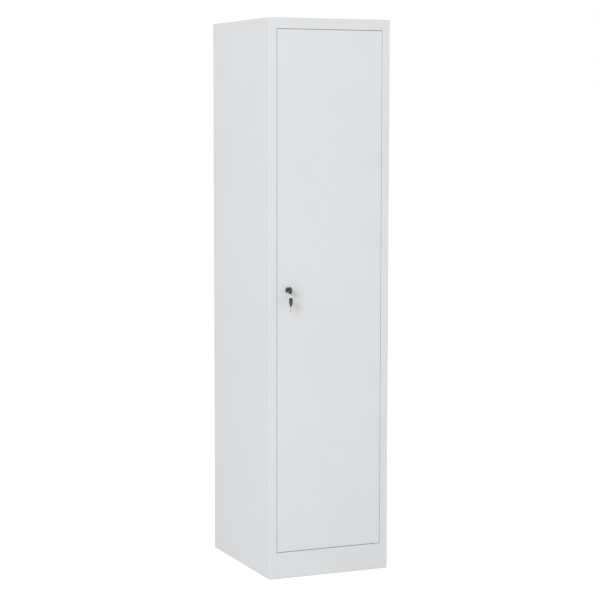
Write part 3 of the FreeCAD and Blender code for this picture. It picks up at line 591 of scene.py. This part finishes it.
class LOCKER_OT_finishes(bpy.types.Operator):
    """Make the finishes and give each packed node its own"""

    bl_idname = "locker.finishes"
    bl_label = "Finishes"

    def execute(self, context):
        paint = context.scene.locker_paint
        plating = context.scene.locker_plating
        mouldings = context.scene.locker_mouldings
        marks = context.scene.locker_marks
        low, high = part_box("lock_plug")
        grain, matt = mouldings.grain_size, mouldings.black_roughness
        made = {
            "painted_steel": powder_coat("powder_coat", paint),
            "zinc_plate": zinc_plate(plating),
            "bright_plate": nickel_plate("bright_nickel", plating.nickel, plating),
            "white_nylon": moulded("pale_nylon", mouldings.nylon, 0.5, grain, 10 * MM),
            "grey_rubber": moulded("soft_rubber", mouldings.rubber, 0.75, 0.4 * MM, 6 * MM),
            "black_plastic": moulded("grained_plastic", mouldings.black, matt, grain, 12 * MM),
        }
        nickel_plate("spring_steel", plating.spring_steel, plating)
        dark = nickel_plate("dark_nickel", plating.dark_nickel, plating, (low + high) / 2)
        welded = powder_coat("welded_coat", paint, marks)
        others = {"lock_housing": dark, "lock_plug": dark}
        others.update({name: welded for name in ("left_side", "right_side", "top_panel")})
        for part in frame["record"]["subparts"]:
            node = frame["nodes"][part["node"]]
            node.data.materials.clear()
            finish = others.get(part["node"], made[part["material_slot"]])
            node.data.materials.append(finish)
        return {"FINISHED"}


# ---------------------------------------------------------------- keys


HEAD_POINTS = 96


class HeadShape:
    """Where the points of a key's head are, seen along its thickness."""

    halvings = 40

    def __init__(self, keys, outer, across, thick, inner):
        self.outer, self.inner = outer, inner
        self.half = across / 2
        self.thick = thick / 2
        self.corner = keys.corner
        self.eye = (outer - keys.eye_inset, 0.0)
        self.eye_radius = keys.eye_radius

    def inside(self, u, v):
        """Whether a point is inside the rounded outline."""
        if not self.inner < u < self.outer or abs(v) >= self.half:
            return False
        du = max(u - (self.outer - self.corner), (self.inner + self.corner) - u, 0.0)
        dv = max(abs(v) - (self.half - self.corner), 0.0)
        return math.hypot(du, dv) < self.corner

    def reach(self, angle):
        """Distance from the eye to the outline in one direction."""
        near, far = 0.0, self.half * 4
        for _ in range(self.halvings):
            middle = (near + far) / 2
            u = self.eye[0] + middle * math.cos(angle)
            v = self.eye[1] + middle * math.sin(angle)
            near, far = (middle, far) if self.inside(u, v) else (near, middle)
        return near


def head_sections(keys, width, thick):
    """Distance from the eye's wall and height, from the eye over the rim to the edge.

    Where the head is narrow beside its eye, the rims shrink and the panel gets shallow.
    """
    room = max(0.05, min(1.0, (width - keys.rim * 1.9) / (keys.rim * 1.5)))
    rim_in = min(keys.rim * 0.8, width * 0.3)
    rim_out = min(keys.rim, width * 0.35)
    floor = thick - keys.recess * room
    slope = keys.recess * 1.2 * room
    edge = min(keys.edge, width * 0.25)
    rounding = [(width - edge + x, thick - edge + y) for y, x in round_steps(edge, 90, 0, 5)]
    lip = edge * 0.5
    inner = [(lip - x, thick - lip + y) for x, y in round_steps(lip, 0, 90, 3)]
    return [
        (0.0, 0.0),
        *inner,
        (rim_in, thick),
        (rim_in + slope, floor),
        (width - rim_out - slope, floor),
        (width - rim_out, thick),
        *rounding,
        (width, 0.0),
    ]


def key_head(name, body, node, outward, across_axis, finish, keys):
    """A moulded head with an eye, a recessed panel each side and a tapered neck."""
    low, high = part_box(node)
    middle = (low + high) / 2
    shift = middle - outward * middle.dot(outward)
    inner, outer = sorted((low.dot(outward), high.dot(outward)))
    across = abs((high - low).dot(across_axis))
    thick = (high - low).dot(X_AXIS)

    def point(u, v, t):
        return shift + outward * u + across_axis * v + X_AXIS * t

    shape = HeadShape(keys, outer, across, thick, inner + keys.neck)
    angles = [2 * math.pi * i / HEAD_POINTS for i in range(HEAD_POINTS)]
    columns = []
    for angle in angles:
        width = shape.reach(angle) - shape.eye_radius
        over = head_sections(keys, width, shape.thick)
        under = [(r, -t) for r, t in reversed(over)][1:-1]
        columns.append(
            [
                point(
                    shape.eye[0] + (shape.eye_radius + r) * math.cos(angle),
                    (shape.eye_radius + r) * math.sin(angle),
                    t,
                )
                for r, t in over + under
            ]
        )
    bm = bmesh.new()
    skin(bm, list(zip(*columns)), wrap=True)

    neck_loops = []
    in_head = inner + keys.neck + MM
    slim = 0.86
    for u, grow in ((inner, slim), (inner + keys.neck_chamfer, 1.0), (in_head, 1.0)):
        half_v = keys.neck_width / 2 * grow
        half_t = keys.neck_thickness / 2 * grow
        section = corner_steps(half_v, half_t, half_t * 0.5, 4)
        neck_loops.append([point(u, v, t) for v, t in section])
    closed_skin(bm, neck_loops)
    made = piece(name, bm, body, finish)
    sharpen(made, 50)
    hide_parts(node)
    return made


class LOCKER_OT_key_heads(bpy.types.Operator):
    """Mould the heads of the key in the lock and of the spare key"""

    bl_idname = "locker.key_heads"
    bl_label = "Key heads"

    def execute(self, context):
        keys = context.scene.locker_keys
        plastic = finish_named("grained_plastic")
        key_head("key_grip", "key", "key_head", -Y_AXIS, Z_AXIS, plastic, keys)
        key_head("spare_key_grip", "spare_key", "spare_key_head", Z_AXIS, Y_AXIS, plastic, keys)
        return {"FINISHED"}


class LOCKER_OT_key_ring(bpy.types.Operator):
    """Coil the split ring that joins the two keys"""

    bl_idname = "locker.key_ring"
    bl_label = "Key ring"

    def execute(self, context):
        keys = context.scene.locker_keys
        low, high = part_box("key_ring")
        middle = (low + high) / 2
        radius = (high.z - low.z) / 2 - keys.wire_width / 2
        offset = (keys.wire_thickness + keys.wire_gap) / 2
        thick = keys.wire_thickness
        section = corner_steps(thick / 2, keys.wire_width / 2, thick * 0.3, 3)
        steps = 200
        end_gap, half_crossing = 0.45, 0.42
        start, end = end_gap, 4 * math.pi - end_gap
        loops = []
        for i in range(steps + 1):
            angle = start + (end - start) * i / steps
            cross = (angle - 2 * math.pi) / half_crossing
            level = offset * max(-1.0, min(1.0, cross))
            turn = math.pi / 2 + angle
            out = Vector((math.cos(turn), 0, math.sin(turn)))
            loops.append(
                [middle + Y_AXIS * (t + level) + out * (radius + r) for t, r in section]
            )
        bm = bmesh.new()
        closed_skin(bm, loops)
        ring = piece("split_ring", bm, "ring", finish_named("spring_steel"))
        sharpen(ring, 60)
        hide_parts("key_ring")
        return {"FINISHED"}


# ---------------------------------------------------------------- lock


TURNED_POINTS = 120
SCREW_POINTS = 96
NEAR = 0.01 * MM


def turned_loops(profile, count, centre, shape):
    """Loops round an axis along Y; shape places a point by its radius, angle and depth."""
    loops = []
    for radius, depth in profile:
        loop = []
        for i in range(count):
            x, z = shape(radius, 2 * math.pi * i / count, depth)
            loop.append(Vector((centre.x + x, depth, centre.z + z)))
        loops.append(loop)
    return loops


class LOCKER_OT_lock_housing(bpy.types.Operator):
    """Turn the lock's rounded bezel and cut the thread on its barrel"""

    bl_idname = "locker.lock_housing"
    bl_label = "Lock housing"

    def execute(self, context):
        lock = context.scene.locker_lock
        low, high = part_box("lock_housing")
        door_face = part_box("door_skin")[0].y
        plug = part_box("lock_plug")
        centre = (low + high) / 2
        bezel = (high.x - low.x) / 2
        barrel = bezel - lock.bezel_wide
        root = barrel - lock.thread_depth
        bore = (plug[1].x - plug[0].x) / 2 + lock.plug_air
        soft, lip, pitch = lock.bezel_round, lock.lip, lock.thread_pitch
        break_edge = 0.1 * MM
        profile = [(bore, high.y), (bore, low.y + lip), (bore + lip, low.y)]
        profile += [(bezel - soft + x, low.y + soft - y) for x, y in round_steps(soft, 90, 0, 8)]
        profile += [(bezel, door_face - break_edge), (bezel - break_edge, door_face)]
        profile.append((barrel, door_face))
        depth = door_face + lock.thread_start
        profile.append((barrel, depth))
        while depth + pitch < high.y - lip:
            for part, radius in ((0.35, root), (0.5, root), (0.85, barrel), (1.0, barrel)):
                profile.append((radius, depth + pitch * part))
            depth += pitch
        profile += [(root, high.y - lip), (barrel - lip * 2, high.y)]

        def flatten(radius, angle, depth):
            x, z = radius * math.cos(angle), radius * math.sin(angle)
            if depth > door_face + NEAR:
                x = max(-lock.flat, min(lock.flat, x))
            return x, z

        bm = bmesh.new()
        skin(bm, turned_loops(profile, TURNED_POINTS, centre, flatten), wrap=True)
        housing = piece("lock_barrel", bm, "door", finish_named("dark_nickel"))
        sharpen(housing, 40)
        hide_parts("lock_housing")
        return {"FINISHED"}


def six_sided(flat, bevel, near, far, bevel_near):
    """The shape and the outer profile of a hexagon with turned corners."""
    point = flat / math.cos(math.pi / 6)
    slope = bevel * 0.6
    face = flat * 0.98

    def hexagon(radius, angle, _depth):
        turn = (angle + math.pi / 6) % (math.pi / 3) - math.pi / 6
        reach = min(radius, flat / math.cos(turn))
        return reach * math.cos(angle), reach * math.sin(angle)

    start = [(face, near), (point, near + slope)] if bevel_near else [(point, near)]
    return hexagon, [*start, (point, far - slope), (face, far)]


class LOCKER_OT_lock_fasteners(bpy.types.Operator):
    """Make the hexagon nut on the barrel and the screw that holds the cam"""

    bl_idname = "locker.lock_fasteners"
    bl_label = "Lock fasteners"

    def execute(self, context):
        lock = context.scene.locker_lock
        zinc = finish_named("drawn_zinc")
        low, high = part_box("lock_nut")
        centre = (low + high) / 2
        flat = (high.x - low.x) / 2
        hexagon, outside = six_sided(flat, lock.nut_bevel, low.y, high.y, True)
        bore, mouth = flat - lock.nut_wall, lock.nut_mouth
        inside = [(bore + mouth, high.y), (bore, high.y - mouth)]
        inside += [(bore, low.y + mouth), (bore + mouth, low.y)]
        bm = bmesh.new()
        skin(bm, turned_loops(outside + inside, TURNED_POINTS, centre, hexagon), wrap=True)
        nut = piece("barrel_nut", bm, "door", zinc)
        sharpen(nut, 12)
        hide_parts("lock_nut")

        low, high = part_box("cam_screw")
        cam_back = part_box("lock_cam")[1].y
        centre = (low + high) / 2
        flat = (high.x - low.x) / 2
        hexagon, head = six_sided(flat, lock.nut_bevel / 2, cam_back, high.y, False)
        core, point, dish = 0.2 * MM, 0.3 * MM, 0.4 * MM
        profile = [(core, low.y), (lock.shank - point, low.y), (lock.shank, low.y + point)]
        profile += [(lock.shank, cam_back), *head, (flat * 0.6, high.y)]
        profile += [(flat * 0.5, high.y - dish), (core, high.y - dish - 0.1 * MM)]
        bm = bmesh.new()
        closed_skin(bm, turned_loops(profile, SCREW_POINTS, centre, hexagon))
        screw = piece("cam_bolt", bm, "plug", zinc)
        sharpen(screw, 12)
        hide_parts("cam_screw")
        return {"FINISHED"}


# ---------------------------------------------------------------- door


WELD_POINTS = 20


class LOCKER_OT_buffers(bpy.types.Operator):
    """Press the three rubber buffers on the back of the door"""

    bl_idname = "locker.buffers"
    bl_label = "Buffers"

    def execute(self, context):
        marks = context.scene.locker_marks
        rubber = finish_named("soft_rubber")
        smallest = 0.2 * MM
        for name in ("low", "middle", "high"):
            node = "door_buffer_" + name
            low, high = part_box(node)
            centre = (low + high) / 2
            half = (high.x - low.x) / 2
            soft = marks.buffer_round
            levels = [(0.0, low.y)]
            levels += [(x - soft, high.y - soft + y) for x, y in round_steps(soft, 0, 90, 6)]
            loops = []
            for grow, depth in levels:
                corner = max(soft + grow, smallest)
                outline = corner_steps(half + grow, half + grow, corner, 6)
                loops.append([Vector((centre.x + x, depth, centre.z + z)) for x, z in outline])
            bm = bmesh.new()
            closed_skin(bm, loops)
            pad = piece("rubber_buffer_" + name, bm, "door", rubber)
            sharpen(pad, 50)
            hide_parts(node)
        return {"FINISHED"}


def weld(bm, centre, across, along, out, marks):
    """One spot weld: a low ring round a shallow dimple, set a little into the sheet."""
    profile = ((1.0, -0.4), (1.0, 0.0), (0.86, 1.0), (0.72, 0.8), (0.4, 0.15), (0.1, 0.1))
    loops = []
    for grow, rise in profile:
        level = centre + out * marks.weld_height * rise
        loop = []
        for i in range(WELD_POINTS):
            angle = 2 * math.pi * i / WELD_POINTS
            side = across * math.cos(angle) + along * math.sin(angle)
            loop.append(level + side * marks.weld_radius * grow)
        loops.append(loop)
    closed_skin(bm, loops)


def weld_row(bm, start, end, out, marks):
    """Welds at an even pitch along a flange."""
    run = end - start
    count = max(2, round(run.length / marks.weld_pitch))
    along = run.normalized()
    across = along.cross(out)
    for i in range(count):
        weld(bm, start + run * (i + 0.5) / count, across, along, out, marks)


class LOCKER_OT_welds(bpy.types.Operator):
    """Mark the spot welds that hold the stiffener inside the door"""

    bl_idname = "locker.welds"
    bl_label = "Spot welds"

    def execute(self, context):
        marks = context.scene.locker_marks
        coat = finish_named("powder_coat")
        low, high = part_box("door_stiffener")
        foot_middle = high.x - 10 * MM
        foot_back = low.y + 0.8 * MM
        end_room = 20 * MM
        bm = bmesh.new()
        for x in (-foot_middle, foot_middle):
            start = Vector((x, foot_back, low.z + end_room))
            end = Vector((x, foot_back, high.z - end_room))
            weld_row(bm, start, end, Y_AXIS, marks)
        piece("door_welds", bm, "door", coat)
        return {"FINISHED"}


# ---------------------------------------------------------------- studio


def backdrop(studio):
    """Pale floor that the camera sees as white, with the locker's shadow on it."""
    floor = Finish("pale_floor")
    mottle = floor.noise(350 * MM, 4.0, 0.55)
    grey = (studio.floor_tone,) * 3
    tones = tinted(grey, 1.0), tinted(grey, 0.99)
    pale = floor.mixed(floor.spread(mottle, 0.3, 0.7, 0.0, 1.0), *tones)
    matt = floor.node("BsdfDiffuse", {"Color": pale})
    glow = floor.node("Emission", {"Strength": studio.floor_glow})
    both = floor.node("AddShader", {0: matt.outputs[0], 1: glow.outputs[0]})
    seen = seen_directly(floor.tree)
    mixed = floor.node("MixShader", {0: seen, 1: matt.outputs[0], 2: both.outputs[0]})
    floor.node("OutputMaterial", {"Surface": mixed.outputs[0]})
    return floor.material


def lay_floor(scene, studio):
    """A flat floor, far wider than the locker."""
    bm = bmesh.new()
    bmesh.ops.create_grid(bm, x_segments=24, y_segments=24, size=studio.floor_half)
    mesh = bpy.data.meshes.new("floor")
    bm.to_mesh(mesh)
    bm.free()
    floor = bpy.data.objects.new("floor", mesh)
    floor.data.materials.append(backdrop(studio))
    scene.collection.objects.link(floor)
    floor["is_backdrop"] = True


def surround(scene, studio):
    """Even light from all round, which looks plain white where it is seen."""
    world = bpy.data.worlds.new("surroundings")
    world.use_nodes = True
    scene.world = world
    tree = world.node_tree
    tree.nodes.clear()
    ambient = add_node(tree, "Background", {"Color": WHITE, "Strength": studio.ambient})
    white = add_node(tree, "Background", {"Color": WHITE})
    shaders = {0: seen_directly(tree), 1: ambient.outputs[0], 2: white.outputs[0]}
    mixed = add_node(tree, "MixShader", shaders)
    add_node(tree, "OutputWorld", {"Surface": mixed.outputs[0]})


def hang_lamp(scene, name, watts, size, where, target):
    """A square lamp that points at a place."""
    lamp = bpy.data.lights.new(name, "AREA")
    lamp.shape = "SQUARE"
    lamp.size = size
    lamp.energy = watts
    placed = bpy.data.objects.new(name, lamp)
    placed.location = where
    aim = Vector(target) - placed.location
    placed.rotation_euler = aim.to_track_quat("-Z", "Y").to_euler()
    scene.collection.objects.link(placed)


class LOCKER_OT_studio(bpy.types.Operator):
    """Lay the pale floor and set the soft lamps and the plain surroundings"""

    bl_idname = "locker.studio"
    bl_label = "Studio"

    def execute(self, context):
        scene = context.scene
        studio = scene.locker_studio
        scene.view_settings.view_transform = "Standard"
        lay_floor(scene, studio)
        surround(scene, studio)
        key = studio.key_power, studio.key_size, studio.key_place
        fill = studio.fill_power, studio.fill_size, studio.fill_place
        hang_lamp(scene, "key_lamp", *key, studio.lamp_target)
        hang_lamp(scene, "fill_lamp", *fill, studio.lamp_target)
        return {"FINISHED"}


class LOCKER_OT_camera(bpy.types.Operator):
    """Set the camera in front of the locker, to its left at eye height"""

    bl_idname = "locker.camera"
    bl_label = "Camera"

    def execute(self, context):
        studio = context.scene.locker_studio
        lens = bpy.data.cameras.new("camera")
        lens.sensor_width = 36.0
        lens.lens = studio.focal
        lens.clip_end = 200.0
        camera = bpy.data.objects.new("camera", lens)
        turn = (
            Matrix.Rotation(studio.camera_yaw, 4, "Z")
            @ Matrix.Rotation(math.pi / 2 + studio.camera_pitch, 4, "X")
            @ Matrix.Rotation(studio.camera_roll, 4, "Z")
        )
        camera.matrix_world = Matrix.Translation(studio.camera_place) @ turn
        context.scene.collection.objects.link(camera)
        context.scene.camera = camera
        return {"FINISHED"}


# ---------------------------------------------------------------- sidebar


STEPS = (
    LOCKER_OT_camera,
    LOCKER_OT_finishes,
    LOCKER_OT_key_heads,
    LOCKER_OT_key_ring,
    LOCKER_OT_lock_housing,
    LOCKER_OT_lock_fasteners,
    LOCKER_OT_buffers,
    LOCKER_OT_welds,
    LOCKER_OT_studio,
)

GROUPS = {
    "locker_paint": LockerPaint,
    "locker_plating": LockerPlating,
    "locker_mouldings": LockerMouldings,
    "locker_keys": LockerKeys,
    "locker_lock": LockerLock,
    "locker_marks": LockerMarks,
    "locker_studio": LockerStudio,
}


class LOCKER_PT_sidebar(bpy.types.Panel):
    """The locker's steps with the sizes and colours that they read"""

    bl_idname = "LOCKER_PT_sidebar"
    bl_label = "Tall side locker"
    bl_space_type = "VIEW_3D"
    bl_region_type = "UI"
    bl_category = "Locker"

    def draw(self, context):
        for step in STEPS:
            self.layout.operator(step.bl_idname)
        for name, group in GROUPS.items():
            box = self.layout.box()
            box.label(text=group.__doc__)
            for setting in group.__annotations__:
                box.prop(getattr(context.scene, name), setting)


def register():
    for group in GROUPS.values():
        bpy.utils.register_class(group)
    for name, group in GROUPS.items():
        setattr(bpy.types.Scene, name, PointerProperty(type=group))
    for step in STEPS:
        bpy.utils.register_class(step)
    bpy.utils.register_class(LOCKER_PT_sidebar)


def unregister():
    bpy.utils.unregister_class(LOCKER_PT_sidebar)
    for step in reversed(STEPS):
        bpy.utils.unregister_class(step)
    for name, group in GROUPS.items():
        delattr(bpy.types.Scene, name)
        bpy.utils.unregister_class(group)


def main():
    """Run every step in order and work out how large the dressed locker is."""
    register()
    for step in STEPS:
        family, name = step.bl_idname.split(".")
        getattr(getattr(bpy.ops, family), name)()
    boxes = {"cad": cad_box, "visual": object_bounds()}
    {k: [list(corner) for corner in v] for k, v in boxes.items()}


if __name__ == "__main__":
    main()
